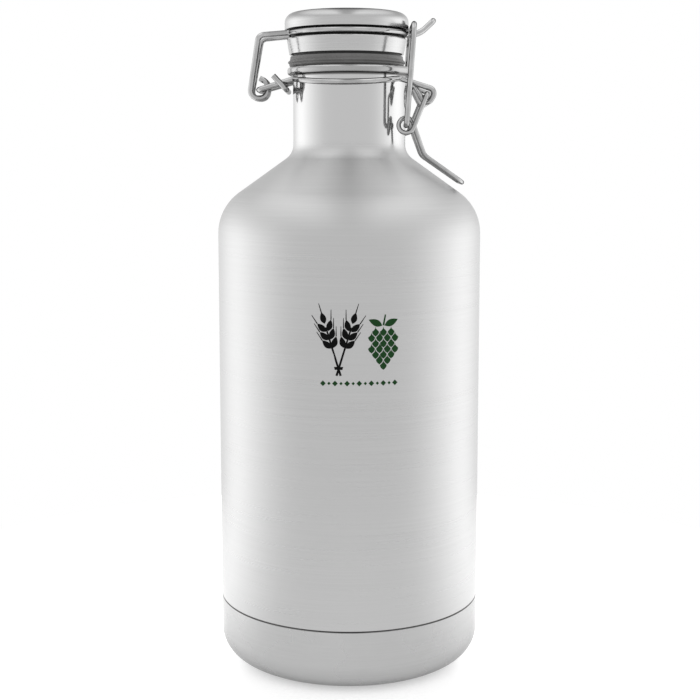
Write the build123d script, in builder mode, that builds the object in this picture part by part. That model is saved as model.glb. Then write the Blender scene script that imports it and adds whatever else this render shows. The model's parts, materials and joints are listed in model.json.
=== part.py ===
from build123d import *
import os
from math import cos, radians, sin, tan

# Double-walled steel growler with a wire-bail swing top, in millimetres.
# It stands on z = 0 with the body's axis on Z. The cap hinges on the -X side, and the
# latch is on the +X side. The XZ plane is its plane of symmetry.

# ---- Driving dimensions -------------------------------------------------------------

# Body
body_radius = 62.0
neck_radius = 26.4
outer_wall = 0.8
seam_z = 28.8
seam_chamfer = 0.35
shoulder_corner_z = 215.0
shoulder_slope = 35.5
shoulder_bend = 23.5
neck_bend = 8.0
lip_bottom_z = 276.3
lip_top_z = 280.2
lip_radius = 29.0
lip_bend = 1.6
mouth_radius = 22.0
mouth_bend = 0.9

# Base
base_bend = 12.0
recess_radius = 41.0
recess_depth = 4.0
recess_draft = 1.5
recess_bend = 1.5
port_radius = 2.0
base_disc_radius = 37.0
base_disc_thickness = 1.0
base_disc_chamfer = 0.4
bead_radius = 3.2
bead_height = 1.0
bead_bend = 0.8

# Liner, inside the vacuum gap
liner_radius = 54.5
liner_wall = 0.6
liner_drop = 8.2
liner_bend = 18.0
liner_seam_z = 26.0
liner_floor_z = 10.5

# Cap, which sits a little towards its hinge, as the latch's pull leaves it
cap_shift = -1.2
lid_radius = 28.9
lid_bottom_z = 297.4
lid_edge_z = 304.9
lid_top_z = 305.4
lid_bend = 4.5
dome_radius = 230.0
dome_flat_radius = 11.5
lid_wall = 0.8
groove_bottom_z = 293.5
band_bottom_z = 286.1
band_bottom_radius = 26.8
band_top_radius = 28.1
band_bend = 0.9
core_radius = 25.9
core_clearance = 0.1
core_headroom = 0.3
gasket_radius = 26.8
gasket_ridge = 0.6
gasket_neck_radius = 25.2
gasket_shoulder_z = 285.0
gasket_gap = 0.05
plug_top_radius = 20.2
plug_bottom_radius = 18.6
plug_bottom_z = 276.5
plug_bend = 1.0
screw_radius = 1.9
screw_clearance = 0.1
screw_head_radius = 4.0
screw_head_height = 2.0
screw_recess = 2.6
driver_slot_width = 1.0
driver_slot_depth = 0.9

# Wires
wire_radius = 1.25
lever_wire_radius = 1.05
tight_bend = 2.0
hinge_x, hinge_z = -41.9, 269.6
hinge_half_width = 9.0
pivot_x, pivot_z = 35.5, 267.4
eye_x, eye_z = 26.0, 253.0
neck_eye_y = 17.2
lever_y = 20.4
eye_exit_y = 17.4
bail_y = 23.3

# ---- Shared geometry ----------------------------------------------------------------

fall = tan(radians(shoulder_slope))
neck_corner_z = shoulder_corner_z + (body_radius - neck_radius) * fall
cap_plane = Plane(origin=(cap_shift, 0, 0), x_dir=(1, 0, 0), z_dir=(0, -1, 0))
cap_axis = Axis((cap_shift, 0, 0), (0, 0, 1))


def ring_corner(radius, azimuth, half_turn, z, centre_x=0.0):
    """A corner that, once rounded, leaves the wire on a circle about a vertical axis."""
    reach = radius / cos(radians(half_turn))
    angle = radians(azimuth)
    return (centre_x + reach * cos(angle), reach * sin(angle), z)


def ring_exit(radius, azimuth, step, z, centre_x=0.0):
    """The point on the circle's tangent where a wire leaves it, a step past the touch."""
    angle = radians(azimuth)
    x = centre_x + radius * cos(angle) - step * sin(angle)
    y = radius * sin(angle) + step * cos(angle)
    return (x, y, z)


def both_sides(points):
    """A route on the front side, joined to its mirror image on the back side."""
    return points + [(x, -y, z) for x, y, z in reversed(points)]


def both_bends(radii):
    """The bend radii of a route made by both_sides."""
    return radii + list(reversed(radii))


def wire_section(route):
    """The plane square to a wire's route at its start."""
    return Plane(origin=route.line @ 0, z_dir=route.line % 0)


def finish(piece, name):
    """Label a finished piece and write it out."""
    piece.part.label = name
    export_step(piece.part, f"parts/{name}.step")


os.makedirs("parts", exist_ok=True)

# ---- Vessel: shells, base and lip ---------------------------------------------------

with BuildPart() as outer_shell:
    with BuildSketch(Plane.XZ):
        with BuildLine():
            FilletPolyline(
                (body_radius, seam_z),
                (body_radius, shoulder_corner_z),
                (neck_radius, neck_corner_z),
                (neck_radius, lip_bottom_z),
                radius=[shoulder_bend, neck_bend],
            )
            offset(amount=outer_wall, side=Side.LEFT)
        make_face()
    revolve(axis=Axis.Z)
    seam_edge = outer_shell.edges().group_by(Axis.Z)[0].sort_by(SortBy.RADIUS)[-1]
    chamfer(seam_edge, seam_chamfer)
finish(outer_shell, "outer_shell")

with BuildPart() as base_cup:
    with BuildSketch(Plane.XZ):
        with BuildLine():
            FilletPolyline(
                (body_radius, seam_z),
                (body_radius, 0),
                (recess_radius, 0),
                (recess_radius - recess_draft, recess_depth),
                (port_radius, recess_depth),
                radius=[base_bend, recess_bend, recess_bend],
            )
            offset(amount=outer_wall, side=Side.RIGHT)
        make_face()
    revolve(axis=Axis.Z)
    seam_edge = base_cup.edges().group_by(Axis.Z)[-1].sort_by(SortBy.RADIUS)[-1]
    chamfer(seam_edge, seam_chamfer)
finish(base_cup, "base_cup")

# Closes the recess from below and covers the evacuation port
with BuildPart() as base_disc:
    with BuildSketch(Plane.XY.offset(recess_depth - base_disc_thickness)):
        Circle(base_disc_radius)
    extrude(amount=base_disc_thickness)
    chamfer(base_disc.edges().group_by(Axis.Z)[0], base_disc_chamfer)
finish(base_disc, "base_disc")

# The bead fills the port and swells over the plate's inner side
bead_base_z = recess_depth + outer_wall
bead_top_z = bead_base_z + bead_height
with BuildPart() as seal_bead:
    with BuildSketch(Plane.XZ):
        with BuildLine():
            Polyline(
                (0, recess_depth),
                (port_radius, recess_depth),
                (port_radius, bead_base_z),
                (bead_radius, bead_base_z),
                (bead_radius, bead_top_z),
                (0, bead_top_z),
                close=True,
            )
        make_face()
        fillet(vertices().sort_by_distance((bead_radius, bead_top_z))[0], bead_bend)
    revolve(axis=Axis.Z)
finish(seal_bead, "seal_bead")

liner_corner_z = shoulder_corner_z + (body_radius - liner_radius) * fall - liner_drop
mouth_corner_z = shoulder_corner_z + (body_radius - mouth_radius) * fall - liner_drop
with BuildPart() as inner_liner:
    with BuildSketch(Plane.XZ):
        with BuildLine():
            FilletPolyline(
                (liner_radius, liner_seam_z),
                (liner_radius, liner_corner_z),
                (mouth_radius, mouth_corner_z),
                (mouth_radius, lip_bottom_z),
                radius=[liner_bend, neck_bend],
            )
            offset(amount=liner_wall, side=Side.RIGHT)
        make_face()
    revolve(axis=Axis.Z)
finish(inner_liner, "inner_liner")

with BuildPart() as liner_base:
    with BuildSketch(Plane.XZ):
        with BuildLine():
            FilletPolyline(
                (liner_radius, liner_seam_z),
                (liner_radius, liner_floor_z),
                (0, liner_floor_z),
                radius=[base_bend],
            )
            offset(amount=liner_wall, side=Side.LEFT)
        make_face()
    revolve(axis=Axis.Z)
finish(liner_base, "liner_base")

with BuildPart() as lip_ring:
    with BuildSketch(Plane.XZ):
        with Locations((mouth_radius, lip_bottom_z)):
            Rectangle(
                lip_radius - mouth_radius, lip_top_z - lip_bottom_z, align=(Align.MIN, Align.MIN)
            )
        fillet(vertices().group_by(Axis.X)[-1], lip_bend)
        fillet(vertices().group_by(Axis.X)[0].sort_by(Axis.Y)[-1], mouth_bend)
    revolve(axis=Axis.Z)
finish(lip_ring, "lip_ring")

# ---- Vessel: getter in the vacuum gap -----------------------------------------------

getter_x = 20.0
getter_radius = 4.0
getter_height = 2.4
getter_chamfer = 0.3
clip_length = 18.0
clip_width = 6.0
clip_thickness = 0.5
clip_rim_height = 1.8
clip_z = recess_depth + outer_wall

with BuildPart() as getter_clip:
    with BuildSketch(Plane.XY.offset(clip_z)):
        with Locations((getter_x, 0)):
            SlotOverall(clip_length, clip_width)
    extrude(amount=clip_thickness)
    with BuildSketch(Plane.XY.offset(clip_z)):
        with Locations((getter_x, 0)):
            Circle(getter_radius + clip_thickness)
    extrude(amount=clip_thickness + clip_rim_height)
    with BuildSketch(Plane.XY.offset(clip_z + clip_thickness)):
        with Locations((getter_x, 0)):
            Circle(getter_radius)
    extrude(amount=getter_height, mode=Mode.SUBTRACT)
finish(getter_clip, "getter_clip")

with BuildPart() as getter:
    with BuildSketch(Plane.XY.offset(clip_z + clip_thickness)):
        with Locations((getter_x, 0)):
            Circle(getter_radius)
    extrude(amount=getter_height)
    chamfer(getter.edges().group_by(Axis.Z)[-1], getter_chamfer)
finish(getter, "getter")

# ---- Vessel: neck wire, with the hinge bar at one end and the lever's eyes at the other

neck_ring_radius = neck_radius + wire_radius + 0.15
neck_ring_bend = neck_ring_radius - 0.2
neck_wire_side_z = 274.4
neck_wire_front_z = 272.3
latch_azimuth = -38.0
hinge_azimuth = -152.0
front_half = (latch_azimuth - hinge_azimuth) / 2
eye_tip = (pivot_x - 5.3, 2.6 - neck_eye_y, pivot_z + 3.5)
eye_bottom = (pivot_x - 0.1, 0.4 - neck_eye_y, pivot_z - 6.2)
eye_outer = (pivot_x + 4.4, -neck_eye_y, pivot_z + 1.55)

neck_wire_points = both_sides(
    [
        eye_tip,
        eye_bottom,
        eye_outer,
        ring_exit(neck_ring_radius, latch_azimuth, 1.7, neck_wire_side_z),
        ring_corner(neck_ring_radius, latch_azimuth - front_half / 2, front_half / 2, neck_wire_front_z),
        ring_corner(neck_ring_radius, hinge_azimuth + front_half / 2, front_half / 2, neck_wire_front_z),
        ring_exit(neck_ring_radius, hinge_azimuth, -1.7, neck_wire_side_z),
        (hinge_x, -hinge_half_width, hinge_z),
    ]
)
neck_wire_bends = both_bends(
    [2.4, 2.6, tight_bend, neck_ring_bend, neck_ring_bend, tight_bend, tight_bend]
)
with BuildPart() as neck_wire:
    with BuildLine() as neck_wire_route:
        FilletPolyline(neck_wire_points, radius=neck_wire_bends)
    with BuildSketch(wire_section(neck_wire_route)):
        Circle(wire_radius)
    sweep()
finish(neck_wire, "neck_wire")

# A short wire across the back of the neck, between the two hinge legs, that draws them together
tie_y = 13.3
with BuildPart() as neck_wire_tie:
    with BuildLine() as tie_route:
        FilletPolyline(
            both_sides([(-34.9, -tie_y, 275.8), (-28.9, -tie_y, 269.5)]),
            radius=tight_bend,
        )
    with BuildSketch(wire_section(tie_route)):
        Circle(wire_radius)
    sweep()
finish(neck_wire_tie, "neck_wire_tie")

# ---- Cap ----------------------------------------------------------------------------

with BuildPart() as cap_lid:
    with BuildSketch(cap_plane):
        with BuildLine():
            FilletPolyline(
                (lid_radius, lid_bottom_z),
                (lid_radius, lid_edge_z),
                (dome_flat_radius, lid_top_z),
                (0, lid_top_z),
                radius=[lid_bend, dome_radius],
            )
            offset(amount=lid_wall, side=Side.LEFT)
        make_face()
    revolve(axis=cap_axis)
finish(cap_lid, "cap_lid")

# Plastic body that the lid and the band are pressed onto
screw_hole_radius = screw_radius + screw_clearance
core_flange_radius = lid_radius - lid_wall - core_clearance
core_top_z = lid_edge_z - lid_wall - core_headroom
with BuildPart() as cap_core:
    with BuildSketch(cap_plane):
        with BuildLine():
            Polyline(
                (screw_hole_radius, band_bottom_z),
                (core_radius, band_bottom_z),
                (core_radius, lid_bottom_z),
                (core_flange_radius, lid_bottom_z),
                (core_flange_radius, core_top_z),
                (0, core_top_z),
                (0, lid_bottom_z),
                (screw_hole_radius, lid_bottom_z),
                close=True,
            )
        make_face()
        outer_corners = vertices().group_by(Axis.X)[-1]
        fillet(outer_corners.sort_by(Axis.Y)[-1], lid_bend)
    revolve(axis=cap_axis)
finish(cap_core, "cap_core")

with BuildPart() as cap_band:
    with BuildSketch(cap_plane):
        with BuildLine():
            FilletPolyline(
                (band_bottom_radius, band_bottom_z),
                (band_top_radius, groove_bottom_z),
                (core_radius, groove_bottom_z),
                radius=[band_bend],
            )
            offset(amount=lid_wall, side=Side.LEFT)
        make_face()
    revolve(axis=cap_axis)
finish(cap_band, "cap_band")

gasket_bottom_z = lip_top_z + gasket_gap
ridge_z = (gasket_bottom_z + gasket_shoulder_z) / 2 - 0.5
with BuildPart() as cap_gasket:
    with BuildSketch(cap_plane):
        with BuildLine():
            Polyline(
                (plug_top_radius, gasket_bottom_z),
                (gasket_radius - 0.5, gasket_bottom_z),
                (gasket_radius, gasket_bottom_z + 0.7),
                (gasket_radius, ridge_z - 0.6),
                (gasket_radius + gasket_ridge, ridge_z),
                (gasket_radius + gasket_ridge, ridge_z + 0.5),
                (gasket_radius - 0.3, ridge_z + 1.3),
                (gasket_radius - 0.5, gasket_shoulder_z),
                (gasket_neck_radius, gasket_shoulder_z),
                (gasket_neck_radius, band_bottom_z),
                (plug_top_radius, band_bottom_z),
                close=True,
            )
        make_face()
    revolve(axis=cap_axis)
finish(cap_gasket, "cap_gasket")

# Centres the cap in the mouth
screw_head_z = plug_bottom_z + screw_recess
counterbore_radius = screw_head_radius + 0.5
with BuildPart() as cap_plug:
    with BuildSketch(cap_plane):
        with BuildLine():
            Polyline(
                (screw_hole_radius, band_bottom_z),
                (plug_top_radius, band_bottom_z),
                (plug_top_radius, lip_top_z),
                (plug_bottom_radius, plug_bottom_z),
                (counterbore_radius, plug_bottom_z),
                (counterbore_radius, screw_head_z),
                (screw_hole_radius, screw_head_z),
                close=True,
            )
        make_face()
        fillet(vertices().sort_by_distance((plug_bottom_radius, plug_bottom_z))[0], plug_bend)
    revolve(axis=cap_axis)
finish(cap_plug, "cap_plug")

screw_top_z = lid_bottom_z - 0.5
screw_bottom_z = screw_head_z - screw_head_height
with BuildPart() as plug_screw:
    with BuildSketch(cap_plane):
        with BuildLine():
            Polyline(
                (0, screw_top_z),
                (screw_radius, screw_top_z),
                (screw_radius, screw_head_z),
                (screw_head_radius, screw_head_z),
                (screw_head_radius, screw_bottom_z),
                (0, screw_bottom_z),
                close=True,
            )
        make_face()
    revolve(axis=cap_axis)
    with BuildSketch(Plane.XY.offset(screw_bottom_z)):
        with Locations((cap_shift, 0)):
            Rectangle(2 * counterbore_radius, driver_slot_width)
    extrude(amount=driver_slot_depth, mode=Mode.SUBTRACT)
finish(plug_screw, "plug_screw")

# The wire lies in the cap's groove; its legs curl round the hinge bar
cap_ring_radius = core_radius + wire_radius + 0.35
cap_ring_bend = cap_ring_radius - 0.2
cap_wire_z = 295.5
cap_leg_azimuth = -156.4
tongue_azimuth = -9.4
cap_third = (tongue_azimuth - cap_leg_azimuth) / 3
tongue_bend = 1.7
tongue_start = ring_exit(cap_ring_radius, tongue_azimuth, 1.6, cap_wire_z, cap_shift)
tongue_y = tongue_start[1]
tongue_root_x = tongue_start[0] + 1.75
curl_reach = 3.7

cap_ring_points = [
    ring_corner(
        cap_ring_radius, cap_leg_azimuth + (k + 0.5) * cap_third, cap_third / 2, cap_wire_z, cap_shift
    )
    for k in range(3)
]
cap_wire_points = [
    (hinge_x + 0.3, -5.2, hinge_z + 5.4),
    (hinge_x + curl_reach, -5.4, hinge_z + 3.8),
    (hinge_x + curl_reach, -5.6, hinge_z - curl_reach),
    (hinge_x - 4.5, -5.8, hinge_z - curl_reach),
    (hinge_x + 0.3, -10.6, cap_wire_z - 1.3),
    ring_exit(cap_ring_radius, cap_leg_azimuth, -1.8, cap_wire_z, cap_shift),
    *cap_ring_points,
    tongue_start,
    (tongue_root_x, tongue_y, cap_wire_z),
]
cap_wire_bends = [3.0, 3.4, 3.4, 3.0, tight_bend] + [cap_ring_bend] * 3 + [tongue_bend]
with BuildPart() as cap_wire:
    with BuildLine() as cap_wire_route:
        FilletPolyline(cap_wire_points, radius=cap_wire_bends)
    with BuildSketch(wire_section(cap_wire_route)):
        Circle(wire_radius)
    sweep()
    mirror(about=Plane.XZ)
finish(cap_wire, "cap_wire")

with BuildPart() as latch_tongue:
    with BuildLine() as tongue_route:
        FilletPolyline(
            both_sides(
                [
                    (tongue_root_x, tongue_y, cap_wire_z),
                    (32.6, tongue_y, cap_wire_z),
                    (39.1, tongue_y, cap_wire_z + 6.1),
                ]
            ),
            radius=both_bends([10.0, tongue_bend]),
        )
    with BuildSketch(wire_section(tongue_route)):
        Circle(wire_radius)
    sweep()
finish(latch_tongue, "latch_tongue")

# ---- Latch --------------------------------------------------------------------------

# The lever's thinner wire runs from its pivot, round the eye that holds the bail, to the
# handle, which narrows towards its end
eye_wire_radius = 3.4
eye_corners = 5
eye_entry = -22.0
eye_exit = 20.2 - 360.0
eye_step = (eye_entry - eye_exit) / eye_corners
eye_reach = eye_wire_radius / cos(radians(eye_step / 2))
eye_points = []
for k in range(eye_corners):
    angle = radians(eye_entry - (k + 0.5) * eye_step)
    y = -lever_y + (lever_y - eye_exit_y) * k / (eye_corners - 1)
    eye_points.append((eye_x + eye_reach * cos(angle), y, eye_z + eye_reach * sin(angle)))

lever_points = both_sides(
    [
        (pivot_x, -14.0, pivot_z),
        (pivot_x, -lever_y, pivot_z),
        *eye_points,
        (34.6, -14.2, 239.5),
        (52.7, -11.0, 226.9),
    ]
)
lever_bends = both_bends([tight_bend] + [eye_wire_radius - 0.05] * eye_corners + [6.0, 5.0])
with BuildPart() as latch_lever:
    with BuildLine() as lever_route:
        FilletPolyline(lever_points, radius=lever_bends)
    with BuildSketch(wire_section(lever_route)):
        Circle(lever_wire_radius)
    sweep()
finish(latch_lever, "latch_lever")

with BuildPart() as latch_bail:
    with BuildLine() as bail_route:
        FilletPolyline(
            both_sides([(eye_x, -15.9, eye_z), (eye_x, -bail_y, eye_z), (29.3, -bail_y, 298.4)]),
            radius=both_bends([tight_bend, 3.5]),
        )
    with BuildSketch(wire_section(bail_route)):
        Circle(wire_radius)
    sweep()
finish(latch_bail, "latch_bail")
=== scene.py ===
import json
import math
from collections import namedtuple

import bmesh
import bpy
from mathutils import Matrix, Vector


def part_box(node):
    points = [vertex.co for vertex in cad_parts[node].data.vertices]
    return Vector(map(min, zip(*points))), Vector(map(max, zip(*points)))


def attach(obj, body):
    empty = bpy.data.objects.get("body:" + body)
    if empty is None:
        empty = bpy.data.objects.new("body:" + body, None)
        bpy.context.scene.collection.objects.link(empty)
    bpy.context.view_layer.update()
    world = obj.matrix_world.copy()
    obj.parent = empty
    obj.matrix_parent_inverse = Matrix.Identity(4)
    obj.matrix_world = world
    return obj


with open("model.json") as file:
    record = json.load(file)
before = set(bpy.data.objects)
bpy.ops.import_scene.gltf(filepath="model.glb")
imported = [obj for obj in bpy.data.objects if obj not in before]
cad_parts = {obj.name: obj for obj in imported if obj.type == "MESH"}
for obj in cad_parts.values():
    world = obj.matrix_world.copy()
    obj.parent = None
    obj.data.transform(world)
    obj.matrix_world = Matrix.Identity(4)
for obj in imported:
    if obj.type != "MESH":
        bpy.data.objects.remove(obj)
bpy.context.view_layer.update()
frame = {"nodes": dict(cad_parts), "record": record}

MM = 0.001

# Places on the growler where its finish or its painted shade changes
BODY_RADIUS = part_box("outer_shell")[1].x
SEAM_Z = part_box("outer_shell")[0].z
SHOULDER_START_Z = 0.198
SHOULDER_FULL_Z = SHOULDER_START_Z + 0.016
NECK_POLISH_START_Z = 0.2405
NECK_POLISH_FULL_Z = 0.2475
NECK_RADIUS = 0.0264
LIP_BOTTOM_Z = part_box("lip_ring")[0].z
RIM_START_RADIUS = 0.024
RIM_FULL_RADIUS = 0.025
CAP_CENTRE_X = (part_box("cap_lid")[0].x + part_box("cap_lid")[1].x) / 2
LID_TOP_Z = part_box("cap_lid")[1].z
LID_EDGE_Z = LID_TOP_Z - 0.0055
BAND_BOTTOM_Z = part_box("cap_band")[0].z


# ---- Node-building helpers ----------------------------------------------------------

# Position in metres, its distance from a vertical axis and its direction round that axis
Turned = namedtuple("Turned", "position radius z across along")


class Graph:
    """Adds nodes to a tree and links them, so that a material reads top to bottom."""

    def __init__(self, tree):
        self.tree = tree
        tree.nodes.clear()

    def add(self, kind, settings=None, **inputs):
        """A node with its settings and inputs; an input is a socket's name, or _ and its index."""
        node = self.tree.nodes.new(kind)
        for key, value in (settings or {}).items():
            setattr(node, key, value)
        for key, value in inputs.items():
            self.feed(node.inputs[int(key[1:])] if key[0] == "_" else node.inputs[key], value)
        return node

    def feed(self, socket, value):
        """Links value to the socket, or sets it there if it is a plain number or colour."""
        if isinstance(value, bpy.types.NodeSocket):
            self.tree.links.new(value, socket)
        else:
            socket.default_value = value

    def math(self, operation, a, b=None):
        node = self.add("ShaderNodeMath", {"operation": operation}, _0=a)
        if b is not None:
            self.feed(node.inputs[1], b)
        return node.outputs[0]

    def times(self, a, b):
        return self.math("MULTIPLY", a, b)

    def span(self, value, low, high, to_low=0.0, to_high=1.0, smooth=True):
        """value from low..high to to_low..to_high, clamped."""
        kind = "SMOOTHSTEP" if smooth else "LINEAR"
        node = self.add("ShaderNodeMapRange", {"interpolation_type": kind, "clamp": True})
        for socket, number in zip(node.inputs[:5], (value, low, high, to_low, to_high)):
            self.feed(socket, number)
        return node.outputs[0]

    def even(self, noise):
        """Noise, which keeps near 0.5, spread over 0 to 1."""
        return self.span(noise, 0.3, 0.7)

    def mix(self, factor, a, b):
        """Colour a where factor is 0 and b where it is 1."""
        node = self.add("ShaderNodeMix", {"data_type": "RGBA"})
        for index, value in ((0, factor), (6, a), (7, b)):
            self.feed(node.inputs[index], value)
        return node.outputs[2]

    def lerp(self, factor, a, b):
        """Number a where factor is 0 and b where it is 1."""
        node = self.add("ShaderNodeMix", {"data_type": "FLOAT"})
        for index, value in ((0, factor), (2, a), (3, b)):
            self.feed(node.inputs[index], value)
        return node.outputs[0]

    def object_position(self):
        return self.add("ShaderNodeTexCoord").outputs["Object"]

    def separate(self, vector):
        return self.add("ShaderNodeSeparateXYZ", None, Vector=vector).outputs

    def combine(self, x, y, z):
        return self.add("ShaderNodeCombineXYZ", None, X=x, Y=y, Z=z).outputs[0]

    def noise(self, vector, scale, detail=2.0, rough=0.5, w=None):
        """Noise with scale features to each unit of vector."""
        settings = {"noise_dimensions": "3D" if w is None else "4D"}
        node = self.add("ShaderNodeTexNoise", settings, Vector=vector)
        node.inputs["Scale"].default_value = scale
        node.inputs["Detail"].default_value = detail
        node.inputs["Roughness"].default_value = rough
        if w is not None:
            self.feed(node.inputs["W"], w)
        return node.outputs["Fac"]

    def turned(self, centre_x=0.0):
        """Coordinates about the vertical axis at centre_x."""
        position = self.object_position()
        split = self.separate(position)
        x = self.math("SUBTRACT", split[0], centre_x)
        radius_squared = self.math("ADD", self.times(x, x), self.times(split[1], split[1]))
        radius = self.math("MAXIMUM", self.math("SQRT", radius_squared), 1e-5)
        across = self.math("DIVIDE", x, radius)
        along = self.math("DIVIDE", split[1], radius)
        return Turned(position, radius, split[2], across, along)

    def brushing(self, at, pitch, streak):
        """Noise drawn out into lines round the axis: pitch is their spacing in metres."""
        vector = self.combine(
            self.times(at.radius, 1 / pitch),
            self.times(at.z, 1 / pitch),
            self.times(at.across, streak),
        )
        return self.noise(vector, 1.0, 3.0, 0.6, w=self.times(at.along, streak))


def grey(level, warm=0.0):
    """A linear grey; warm is the share by which red is above it and blue below it."""
    return (level * (1 + warm), level, level * (1 - warm), 1.0)


def new_material(name):
    """A material, the graph of its nodes and its shader."""
    material = bpy.data.materials.new(name)
    material.use_nodes = True
    graph = Graph(material.node_tree)
    shader = graph.add("ShaderNodeBsdfPrincipled")
    out = graph.add("ShaderNodeOutputMaterial")
    graph.tree.links.new(shader.outputs[0], out.inputs[0])
    return material, graph, shader


# ---- Materials ----------------------------------------------------------------------

# Painted shade: the dark grey that the seam and the places just under the lip are blended towards
PAINTED_SHADE_GREY = grey(0.05, 0.03)
JOINT_HALF_WIDTH = 0.25 * MM
JOINT_FADE_END = 0.55 * MM
JOINT_DARKNESS = 0.85
# How strongly the painted shade under the lip darkens
UNDER_LIP_SHADE = 0.8
BRUSH_DEPTH = 0.012 * MM
FINE_BRUSHING = 0.3 * MM
COARSE_BRUSHING = 0.9 * MM


def seam_shadow(g, z):
    """Dark in the joint between the wall and the base cup, 0 away from it."""
    distance = g.math("ABSOLUTE", g.math("SUBTRACT", z, SEAM_Z))
    return g.times(g.span(distance, JOINT_HALF_WIDTH, JOINT_FADE_END, 1.0, 0.0), JOINT_DARKNESS)


def turned_steel(g, shader, anisotropic, edge_tint):
    """Metal whose highlights spread across lines that run round a vertical axis."""
    shader.inputs["Metallic"].default_value = 1.0
    shader.inputs["Specular Tint"].default_value = grey(edge_tint)
    shader.inputs["Anisotropic"].default_value = anisotropic
    shader.inputs["Anisotropic Rotation"].default_value = 0.25
    tangent = g.add("ShaderNodeTangent", {"direction_type": "RADIAL", "axis": "Z"})
    g.feed(shader.inputs["Tangent"], tangent.outputs[0])


def relief(g, shader, height, strength, distance):
    """Bump from height, where distance is how far 1 stands above 0."""
    bump = g.add("ShaderNodeBump", None, Height=height)
    bump.inputs["Strength"].default_value = strength
    bump.inputs["Distance"].default_value = distance
    g.feed(shader.inputs["Normal"], bump.outputs[0])


def wall_steel():
    """Brushed wall with fine lines round the body, a duller shoulder and a polished neck."""
    brushed_greys, cloud_grey, neck_grey = (grey(0.45), grey(0.49)), grey(0.475), grey(0.505)
    brushed_roughness, shoulder_roughness, neck_roughness = (0.27, 0.32), 0.46, 0.12
    neck_relief = 0.12
    material, g, shader = new_material("brushed_steel_wall_look")
    at = g.turned()
    fine = g.brushing(at, FINE_BRUSHING, 1.3)
    coarse = g.brushing(at, COARSE_BRUSHING, 0.8)
    cloud = g.noise(at.position, 22.0)
    neck = g.span(at.z, NECK_POLISH_START_Z, NECK_POLISH_FULL_Z)
    shoulder = g.span(at.z, SHOULDER_START_Z, SHOULDER_FULL_Z)
    lines = g.math("ADD", g.times(fine, 0.6), g.times(coarse, 0.4))
    brushed = g.mix(g.even(lines), *brushed_greys)
    clouded = g.mix(g.span(cloud, 0.35, 0.65, 0.0, 0.5), brushed, cloud_grey)
    polished = g.mix(neck, clouded, neck_grey)
    # Painted shade: the neck just below the lip, and the seam, are darkened towards a dark grey to
    # stand in for the shadow there
    under_lip_shade = g.span(at.z, LIP_BOTTOM_Z - 1.0 * MM, LIP_BOTTOM_Z - 0.2 * MM)
    painted_shade = g.math("MAXIMUM", seam_shadow(g, at.z), g.times(under_lip_shade, UNDER_LIP_SHADE))
    g.feed(shader.inputs["Base Color"], g.mix(painted_shade, polished, PAINTED_SHADE_GREY))
    turned_steel(g, shader, 0.6, 0.75)
    rough = g.lerp(shoulder, g.lerp(g.even(coarse), *brushed_roughness), shoulder_roughness)
    g.feed(shader.inputs["Roughness"], g.lerp(neck, rough, neck_roughness))
    relief(g, shader, g.times(fine, g.lerp(neck, 1.0, neck_relief)), 0.2, BRUSH_DEPTH)
    return material


def satin_steel(name, centre_x, levels, roughness, pitch, depth_share, crown_shade=None):
    """Smooth satin steel, turned about a vertical axis, with lines of depth_share of full depth.

    The last argument is the heights over which the top of the lid is darkened towards a dark grey
    as painted shade, from none at the first to darkest at the second.
    """
    material, g, shader = new_material(name)
    at = g.turned(centre_x)
    fine = g.brushing(at, pitch, 1.5)
    cloud = g.noise(at.position, 40.0)
    base = g.mix(g.even(fine), grey(levels[0]), grey(levels[1]))
    colour = g.mix(g.span(cloud, 0.45, 0.75, 0.0, 0.3), base, grey(levels[0] * 0.95))
    # Painted shade: the colour, not the finish, darkens over the top of the lid
    if crown_shade:
        colour = g.mix(g.span(at.z, *crown_shade, 0.0, 0.45), colour, grey(0.1))
    g.feed(shader.inputs["Base Color"], g.mix(seam_shadow(g, at.z), colour, PAINTED_SHADE_GREY))
    turned_steel(g, shader, 0.4, 0.7)
    g.feed(shader.inputs["Roughness"], g.lerp(g.even(cloud), *roughness))
    relief(g, shader, fine, depth_share, BRUSH_DEPTH)
    return material


def liner_steel():
    """Pale satin liner, faintly dimpled and turned, with a darker rim that is polished."""
    satin_greys, cloud_grey, rim_grey = (grey(0.62), grey(0.7)), grey(0.56, 0.01), grey(0.2)
    satin_roughness, rim_roughness = (0.36, 0.44), 0.18
    material, g, shader = new_material("liner_steel_look")
    at = g.turned()
    lines = g.brushing(at, COARSE_BRUSHING, 2.0)
    dimples = g.noise(at.position, 900.0)
    cloud = g.noise(at.position, 45.0)
    base = g.mix(g.even(lines), *satin_greys)
    shaded = g.mix(g.span(cloud, 0.4, 0.7, 0.0, 0.5), base, cloud_grey)
    above_neck = g.span(at.z, LIP_BOTTOM_Z - 1.0 * MM, LIP_BOTTOM_Z)
    rim = g.times(above_neck, g.span(at.radius, RIM_START_RADIUS, RIM_FULL_RADIUS))
    rolled = g.mix(g.times(rim, 0.65), shaded, rim_grey)
    # Painted shade: the underside of the rolled lip, outside the neck, is darkened towards a dark
    # grey to stand in for the shadow under it
    lip_underside_shade = g.span(
        at.z, LIP_BOTTOM_Z + 0.3 * MM, LIP_BOTTOM_Z + 1.2 * MM, UNDER_LIP_SHADE, 0.0
    )
    beyond_neck = g.span(at.radius, NECK_RADIUS - 0.2 * MM, NECK_RADIUS + 0.2 * MM)
    g.feed(shader.inputs["Base Color"], g.mix(g.times(lip_underside_shade, beyond_neck), rolled, PAINTED_SHADE_GREY))
    shader.inputs["Metallic"].default_value = 1.0
    shader.inputs["Specular Tint"].default_value = grey(0.75)
    satin = g.lerp(g.even(cloud), *satin_roughness)
    g.feed(shader.inputs["Roughness"], g.lerp(rim, satin, rim_roughness))
    relief(g, shader, g.math("ADD", g.times(dimples, 0.6), lines), 0.2, 0.02 * MM)
    return material


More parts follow.
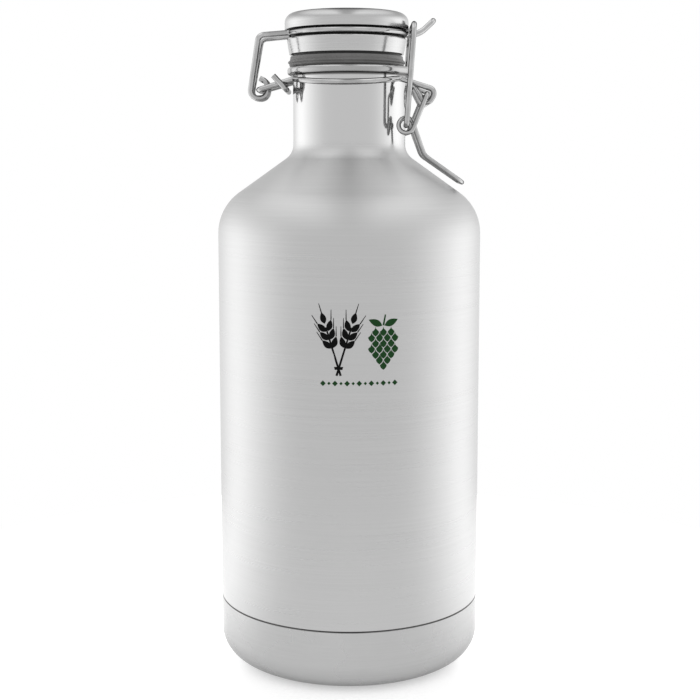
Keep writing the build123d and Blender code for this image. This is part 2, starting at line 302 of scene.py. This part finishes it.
def wire_steel():
    """Bright drawn wire, with faint scuffs."""
    drawn_greys, scuff_grey, roughness = (grey(0.36), grey(0.44)), grey(0.28), (0.1, 0.2)
    material, g, shader = new_material("steel_wire_look")
    position = g.object_position()
    scuffs = g.noise(position, 700.0, 3.0, 0.6)
    cloud = g.noise(position, 120.0)
    base = g.mix(g.span(cloud, 0.35, 0.65), *drawn_greys)
    scuffed = g.mix(g.span(scuffs, 0.55, 0.75, 0.0, 0.4), base, scuff_grey)
    g.feed(shader.inputs["Base Color"], scuffed)
    shader.inputs["Metallic"].default_value = 1.0
    shader.inputs["Specular Tint"].default_value = grey(0.1)
    g.feed(shader.inputs["Roughness"], g.lerp(g.span(scuffs, 0.35, 0.7), *roughness))
    relief(g, shader, scuffs, 0.12, 0.03 * MM)
    return material


def soft_material(name, levels, roughness, grain_scale, specular, recess_shade_z=None):
    """Silicone or moulded plastic: matt, finely grained, slightly mottled, with painted shade that
    makes it nearly black above the height given last.
    """
    material, g, shader = new_material(name)
    position = g.object_position()
    grain = g.noise(position, grain_scale, 3.0, 0.6)
    cloud = g.noise(position, grain_scale / 12)
    base = g.mix(g.even(cloud), grey(levels[0], 0.01), grey(levels[1], 0.01))
    colour = g.mix(g.span(grain, 0.5, 0.8, 0.0, 0.5), base, grey(levels[0] * 0.85))
    # Painted shade: above the given height, in the recess under the cap band, the colour goes
    # nearly black
    if recess_shade_z:
        recess_shade = g.span(g.separate(position)[2], recess_shade_z - 0.1 * MM, recess_shade_z, 0.0, 0.85)
        colour = g.mix(recess_shade, colour, grey(0.004))
    g.feed(shader.inputs["Base Color"], colour)
    g.feed(shader.inputs["Roughness"], g.lerp(g.even(grain), *roughness))
    shader.inputs["Specular IOR Level"].default_value = specular
    relief(g, shader, grain, 0.35, 0.03 * MM)
    return material


def sintered_metal():
    """Dark, porous getter metal and braze."""
    material, g, shader = new_material("getter_alloy_look")
    grain = g.noise(g.object_position(), 1800.0, 4.0, 0.7)
    pored = g.mix(g.span(grain, 0.35, 0.7), grey(0.07), grey(0.2, 0.02))
    g.feed(shader.inputs["Base Color"], pored)
    shader.inputs["Metallic"].default_value = 0.8
    g.feed(shader.inputs["Roughness"], g.lerp(grain, 0.5, 0.75))
    relief(g, shader, grain, 0.6, 0.1 * MM)
    return material


def printed_ink(name, colour):
    """Screen-printed ink: thin and matt, with a faint mesh grain."""
    material, g, shader = new_material(name)
    grain = g.noise(g.object_position(), 2600.0, 3.0, 0.6)
    worn = tuple(c * 1.4 + 0.003 for c in colour[:3]) + (1.0,)
    g.feed(shader.inputs["Base Color"], g.mix(g.span(grain, 0.45, 0.75), colour, worn))
    g.feed(shader.inputs["Roughness"], g.lerp(g.even(grain), 0.45, 0.6))
    shader.inputs["Specular IOR Level"].default_value = 0.05
    relief(g, shader, grain, 0.3, 0.01 * MM)
    return material


LOOKS = {
    "brushed_steel_wall": wall_steel(),
    "satin_steel_base": satin_steel(
        "satin_steel_base_look",
        centre_x=0.0,
        levels=(0.435, 0.465),
        roughness=(0.24, 0.3),
        pitch=FINE_BRUSHING,
        depth_share=0.12,
    ),
    "satin_steel_cap": satin_steel(
        "satin_steel_cap_look",
        centre_x=CAP_CENTRE_X,
        levels=(0.445, 0.485),
        roughness=(0.18, 0.25),
        pitch=0.25 * MM,
        depth_share=0.2,
        # Painted shade darkens the top of the lid between these heights
        crown_shade=(LID_EDGE_Z, LID_TOP_Z),
    ),
    "liner_steel": liner_steel(),
    "steel_wire": wire_steel(),
    "silicone": soft_material(
        "silicone_look",
        levels=(0.1, 0.125),
        roughness=(0.5, 0.62),
        grain_scale=900.0,
        specular=0.35,
        # The gasket is darkened as painted shade above this height, in the recess under the band
        recess_shade_z=BAND_BOTTOM_Z - 1.2 * MM,
    ),
    "cap_plastic": soft_material(
        "cap_plastic_look",
        levels=(0.008, 0.014),
        roughness=(0.5, 0.6),
        grain_scale=1500.0,
        specular=0.1,
    ),
    "getter_alloy": sintered_metal(),
}
for part in frame["record"]["subparts"]:
    slots = frame["nodes"][part["node"]].data.materials
    slots.clear()
    slots.append(LOOKS[part["material_slot"]])


# ---- Printed emblem: barley ears, a hop cone and a row of diamonds -------------------

# The middle of the emblem, and how far the ink's two faces stand from the wall
EMBLEM_X = 4.4 * MM
EMBLEM_Z = 157.6 * MM
INK_TOP = 0.06 * MM
INK_BOTTOM = -0.08 * MM

# The emblem is drawn flat about that middle, in millimetres and degrees
LONGEST_FACET = 2.0

EAR_LEAN = 17
EAR_FEET_Y = -13.2
EAR_FEET_X = (-8.1, -9.9)
EAR_TIE = [(-10.7, -10.6), (-7.3, -10.6), (-7.0, -9.3), (-11.0, -9.3)]
EAR_START = 12.6
GRAIN_PAIRS = 3
GRAIN_PITCH = 3.8
GRAIN_SPREAD = 31
GRAIN_LENGTH = 5.2
GRAIN_WIDTH = 2.7
STEM_WIDTHS = (1.0, 0.7)
AWN_WIDTHS = (0.5, 0.25)
SIDE_AWN_REACH = (1.3, 4.2)
TOP_AWN_LENGTH = 4.0
OVERLAP = 0.3

CONE_TOP = (10.6, 6.0)
CONE_ROWS = (3, 4, 3, 4, 3, 2, 1)
SCALE_WIDTH = 3.5
SCALE_PITCH = 2.45
SCALE_SHARE = 0.87
CONE_LEAF = (6.6, 3.0)
CONE_LEAF_ANGLE = 66
CONE_LEAF_ROOT = (0.5, 2.6)
CONE_STALK = ((0.0, 2.7), (0.9, 7.4))
CONE_STALK_WIDTHS = (0.8, 0.6)

DIAMOND_COUNT = 13
DIAMOND_Y = -16.6
DIAMOND_PITCH = 2.65
DIAMOND_HALF = 1.25
SMALL_DIAMOND = 0.6


def turned_shape(points, angle, centre):
    """Points turned by angle, in degrees, and moved to centre."""
    c, s = math.cos(math.radians(angle)), math.sin(math.radians(angle))
    return [(centre[0] + x * c - y * s, centre[1] + x * s + y * c) for x, y in points]


def leaf(length, width):
    """A pointed oval that grows along +Y from the origin, widest just below its middle."""
    widest_at, roundness, steps = 0.42, 0.9, 7
    side = []
    for k in range(1, steps):
        t = k / steps
        bulge = t / widest_at if t < widest_at else (1 - t) / (1 - widest_at)
        side.append((width / 2 * math.sin(bulge * math.pi / 2) ** roundness, t * length))
    return [(0, 0)] + side + [(0, length)] + [(-x, y) for x, y in reversed(side)]


def taper(start, end, width_start, width_end):
    """A thin stroke from start to end."""
    (x0, y0), (x1, y1) = start, end
    length = math.hypot(x1 - x0, y1 - y0)
    nx, ny = -(y1 - y0) / length, (x1 - x0) / length
    a, b = width_start / 2, width_end / 2
    return [
        (x0 + nx * a, y0 + ny * a),
        (x0 - nx * a, y0 - ny * a),
        (x1 - nx * b, y1 - ny * b),
        (x1 + nx * b, y1 + ny * b),
    ]


def barley_ear(foot, lean):
    """A stem with grains in pairs up it, a grain at its tip, and long awns."""
    stem_top = EAR_START + GRAIN_PITCH * (GRAIN_PAIRS - 0.5)
    shapes = [taper((0, 0), (0, stem_top), *STEM_WIDTHS)]
    for k in range(GRAIN_PAIRS):
        for side in (-1, 1):
            root = (side * 0.5, EAR_START + GRAIN_PITCH * k)
            turn = -side * GRAIN_SPREAD
            shapes.append(turned_shape(leaf(GRAIN_LENGTH, GRAIN_WIDTH), turn, root))
            tip = turned_shape([(0, GRAIN_LENGTH)], turn, root)[0]
            awn_end = (tip[0] + side * SIDE_AWN_REACH[0], tip[1] + SIDE_AWN_REACH[1])
            shapes.append(taper(tip, awn_end, *AWN_WIDTHS))
    top = EAR_START + GRAIN_PITCH * GRAIN_PAIRS - OVERLAP
    shapes.append(turned_shape(leaf(GRAIN_LENGTH, GRAIN_WIDTH), 0, (0, top)))
    awn_start = (0, top + GRAIN_LENGTH - OVERLAP)
    shapes.append(taper(awn_start, (0, top + GRAIN_LENGTH + TOP_AWN_LENGTH), *AWN_WIDTHS))
    return [turned_shape(shape, lean, foot) for shape in shapes]


def barley():
    """Two ears that cross near their feet, where they are tied."""
    left, right = EAR_FEET_X
    ears = barley_ear((left, EAR_FEET_Y), EAR_LEAN) + barley_ear((right, EAR_FEET_Y), -EAR_LEAN)
    return ears + [EAR_TIE]


def hop_scale(width, pitch):
    """As much of a scale as its neighbours leave bare: full sides below, hollow ones above."""
    below = [(0.5, 0.0), (0.45, -0.35), (0.29, -0.68), (0.0, -1.0), (-0.29, -0.68), (-0.45, -0.35)]
    above = [(-0.5, 0.0), (-0.21, 0.32), (-0.05, 0.65), (0.0, 1.0), (0.05, 0.65), (0.21, 0.32)]
    return [(x * width, y * pitch) for x, y in below + above]


def hop_cone():
    """Staggered rows of scales that hang from two leaves."""
    top_x, top_y = CONE_TOP
    scale = hop_scale(SCALE_WIDTH * SCALE_SHARE, SCALE_PITCH * SCALE_SHARE)
    shapes = []
    for row, count in enumerate(CONE_ROWS):
        for k in range(count):
            off = k - (count - 1) / 2
            centre = (top_x + off * SCALE_WIDTH, top_y - row * SCALE_PITCH)
            shapes.append(turned_shape(scale, 0, centre))
    for side in (-1, 1):
        root = (top_x + side * CONE_LEAF_ROOT[0], top_y + CONE_LEAF_ROOT[1])
        shapes.append(turned_shape(leaf(*CONE_LEAF), -side * CONE_LEAF_ANGLE, root))
    stalk = [(top_x + x, top_y + y) for x, y in CONE_STALK]
    return shapes + [taper(*stalk, *CONE_STALK_WIDTHS)]


def diamonds():
    """A row of diamonds, every other one small."""
    shapes = []
    for k in range(DIAMOND_COUNT):
        x = (k - (DIAMOND_COUNT - 1) / 2) * DIAMOND_PITCH
        y = DIAMOND_Y
        half = DIAMOND_HALF * (1.0 if k % 2 == 0 else SMALL_DIAMOND)
        shapes.append([(x - half, y), (x, y - half), (x + half, y), (x, y + half)])
    return shapes


def wrapped(point, lift):
    """A point of the flat emblem laid on the front of the body."""
    angle = (EMBLEM_X + point[0] * MM) / BODY_RADIUS
    radius = BODY_RADIUS + lift
    return (radius * math.sin(angle), -radius * math.cos(angle), EMBLEM_Z + point[1] * MM)


def edges(outline):
    """The outline's edges, each as its two ends."""
    return zip(outline, outline[1:] + outline[:1])


def cut_facets(outline):
    """The outline with its long edges divided, so that it follows the body's curve."""
    cut = []
    for (x0, y0), (x1, y1) in edges(outline):
        parts = max(1, math.ceil(math.hypot(x1 - x0, y1 - y0) / LONGEST_FACET))
        cut += [(x0 + (x1 - x0) * k / parts, y0 + (y1 - y0) * k / parts) for k in range(parts)]
    return cut


def mesh_object(name, mesh, look):
    """An object made from a bmesh, which is freed."""
    data = bpy.data.meshes.new(name)
    mesh.to_mesh(data)
    mesh.free()
    data.materials.append(look)
    made = bpy.data.objects.new(name, data)
    bpy.context.scene.collection.objects.link(made)
    return made


def printed(name, shapes, look):
    """Thin closed solids of ink, one for each shape, that ride on the vessel."""
    mesh = bmesh.new()
    for shape in shapes:
        outline = cut_facets(shape)
        area = sum(x0 * y1 - x1 * y0 for (x0, y0), (x1, y1) in edges(outline))
        if area < 0:
            outline.reverse()
        front = [mesh.verts.new(wrapped(p, INK_TOP)) for p in outline]
        back = [mesh.verts.new(wrapped(p, INK_BOTTOM)) for p in outline]
        mesh.faces.new(front)
        mesh.faces.new(list(reversed(back)))
        for k in range(len(outline)):
            n = (k + 1) % len(outline)
            mesh.faces.new((front[n], front[k], back[k], back[n]))
    bmesh.ops.triangulate(mesh, faces=mesh.faces[:])
    piece = mesh_object(name, mesh, look)
    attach(piece, "vessel")


black_ink = printed_ink("black_ink", (0.002, 0.002, 0.002, 1.0))
green_ink = printed_ink("green_ink", (0.009, 0.038, 0.011, 1.0))
printed("emblem_barley", barley(), black_ink)
printed("emblem_hop", hop_cone(), green_ink)
printed("emblem_diamonds", diamonds(), green_ink)


# ---- Floor, light and camera --------------------------------------------------------

FLOOR_RADIUS = 0.3
FLOOR_SIDES = 128
FLOOR_GLOW = 0.38

# How bright the room is round the horizon, as (place, level), from place 0 straight ahead
# of the object's front to 1 behind its back
HORIZON_ENDS = ((0.0, 0.0), (1.0, 0.1))
HORIZON_STOPS = (
    (0.19, 0.02),
    (0.36, 0.34),
    (0.465, 0.5),
    (0.58, 0.72),
    (0.70, 0.97),
    (0.84, 0.9),
    (0.95, 0.45),
)
HORIZON_GAIN = 1.08

# Bands of the room, each as the direction's part along an axis where it starts and is full
HORIZON_TOP = (0.1, 0.6)
OVERHEAD = (0.5, 0.8)
MIDDLE = (0.05, 0.3)
BACK = (0.2, 0.5)
BACK_FOOT = (0.15, 0.35)
OVERHEAD_LEVEL = 1.7
MIDDLE_LEVEL = 0.85
SHADE_LEVEL = 0.3

CAMERA_LENS = 67.08
CAMERA_SENSOR = 36.0
CAMERA_SHIFT_Y = -0.05
CAMERA_PLACE = (0.00036, -0.6205, 0.2385)
CAMERA_TILT_DOWN = 6.89


def horizon_glow(g, backness):
    """The room's brightness near the horizon, for -1 at the front to 1 at the back."""
    ramp = g.add("ShaderNodeValToRGB", None, Fac=g.span(backness, -1.0, 1.0, smooth=False))
    ramp.color_ramp.interpolation = "B_SPLINE"
    stops = ramp.color_ramp.elements
    for stop, (place, level) in zip(stops, HORIZON_ENDS):
        stop.position = place
        stop.color = grey(level)
    for place, level in HORIZON_STOPS:
        stops.new(place).color = grey(level)
    return g.times(ramp.outputs[0], HORIZON_GAIN)


def make_floor():
    """A small disc of pale paper that glows as the room does."""
    material, g, shader = new_material("floor_paper")
    at = g.turned()
    fibre = g.noise(at.position, 600.0, 3.0)
    g.feed(shader.inputs["Base Color"], g.mix(g.even(fibre), grey(0.58), grey(0.62)))
    shader.inputs["Roughness"].default_value = 0.9
    shader.inputs["Specular IOR Level"].default_value = 0.1
    shader.inputs["Emission Color"].default_value = (1, 1, 1, 1)
    glow = g.math("ADD", horizon_glow(g, at.along), FLOOR_GLOW)
    g.feed(shader.inputs["Emission Strength"], glow)
    mesh = bmesh.new()
    bmesh.ops.create_circle(mesh, cap_ends=True, segments=FLOOR_SIDES, radius=FLOOR_RADIUS)
    mesh_object("floor", mesh, material)


def make_world():
    """A white room that is brighter at both sides, with a shaded strip high up at the back.

    The camera sees it as plain white.
    """
    world = bpy.data.worlds.new("studio")
    bpy.context.scene.world = world
    world.use_nodes = True
    g = Graph(world.node_tree)
    x, y, z = g.separate(g.add("ShaderNodeTexCoord").outputs["Generated"])
    flat = g.math("SQRT", g.math("SUBTRACT", 1.0001, g.times(z, z)))
    glow = horizon_glow(g, g.math("DIVIDE", y, flat))
    low_glow = g.times(glow, g.span(z, *HORIZON_TOP, 1.0, 0.0))
    middle = g.span(g.math("ABSOLUTE", x), *MIDDLE, 1.0, 0.0)
    overhead = g.span(z, *OVERHEAD, 1.0, g.lerp(middle, OVERHEAD_LEVEL, MIDDLE_LEVEL))
    back = g.times(g.span(y, *BACK), g.span(z, *BACK_FOOT))
    shade = g.lerp(g.times(middle, back), 1.0, SHADE_LEVEL)
    strength = g.times(g.math("ADD", low_glow, overhead), shade)
    seen = g.add("ShaderNodeLightPath").outputs["Is Camera Ray"]
    brightness = g.lerp(seen, strength, 1.0)
    room = g.add("ShaderNodeBackground", None, Color=(1, 1, 1, 1), Strength=brightness)
    out = g.add("ShaderNodeOutputWorld")
    g.tree.links.new(room.outputs[0], out.inputs[0])


def make_camera():
    """In front of the growler, level with the foot of its neck and looking slightly down."""
    data = bpy.data.cameras.new("camera")
    data.lens = CAMERA_LENS
    data.sensor_width = CAMERA_SENSOR
    data.shift_y = CAMERA_SHIFT_Y
    camera = bpy.data.objects.new("camera", data)
    camera.location = CAMERA_PLACE
    camera.rotation_euler = (math.radians(90 - CAMERA_TILT_DOWN), 0, 0)
    bpy.context.scene.collection.objects.link(camera)
    bpy.context.scene.camera = camera


make_floor()
make_world()
make_camera()
bpy.context.scene.view_settings.view_transform = "Standard"
